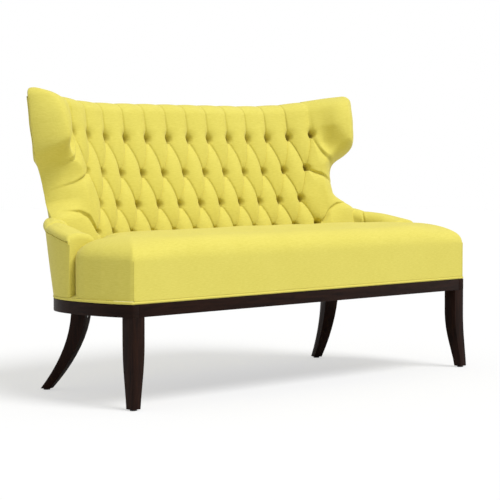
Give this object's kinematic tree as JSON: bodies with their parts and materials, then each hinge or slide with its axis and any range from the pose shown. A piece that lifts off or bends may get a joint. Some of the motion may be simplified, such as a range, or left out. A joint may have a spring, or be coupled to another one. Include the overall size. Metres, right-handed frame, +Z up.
{
  "type": "high back settee",
  "caption": "Upholstered settee with a deep buttoned high back, flared wings, short low arms, a tight crowned seat, piped edges and dark sabre legs.",
  "frame": {"origin": "on the floor below the middle of the bounding box", "axes": "+Z up, the seat faces -Y, +X is the sitter's left-hand side seen from behind, so the settee is symmetric about X = 0"},
  "size_m": [1.579, 0.691, 0.9253],
  "materials": {
    "show_wood": "satin dark espresso stain",
    "beech": "plain sawn beech",
    "cover": "plain woven, fine cross rib",
    "button_cover": "plain woven, same cloth as the cover",
    "lining": "plain hessian",
    "dust_cloth": "thin black lining",
    "steel": "plain spring steel and plated fixings",
    "glide": "moulded nylon"
  },
  "bodies": {
    "root": {"front_rail": "show_wood", "rail_left": "show_wood", "rail_right": "show_wood", "back_rail": "show_wood", "leg_front_left": "show_wood", "leg_front_right": "show_wood", "leg_rear_left": "show_wood", "leg_rear_right": "show_wood", "leg_glides": "glide", "corner_blocks": "beech", "leg_bolts": "steel", "seat_frame_front": "beech", "seat_frame_back": "beech", "seat_frame_left": "beech", "seat_frame_right": "beech", "seat_stretchers": "beech", "seat_springs": "steel", "spring_clips": "steel", "spring_cover": "lining", "dust_cover": "dust_cloth", "seat_pad": "cover", "inside_back": "cover", "back_buttons": "button_cover", "back_lining": "lining", "back_post_left": "beech", "back_post_right": "beech", "back_slats": "beech", "top_rail": "beech", "middle_back_rail": "beech", "lower_tacking_rail": "beech", "outside_back": "cover", "wing_pad_left": "cover", "wing_pad_right": "cover", "wing_post_left": "beech", "wing_post_right": "beech", "wing_board_left": "beech", "wing_board_right": "beech", "arm_pad_left": "cover", "arm_pad_right": "cover", "arm_board_left": "beech", "arm_board_right": "beech", "base_piping": "cover", "arm_piping_left": "cover", "arm_piping_right": "cover"}
  },
  "joints": []
}
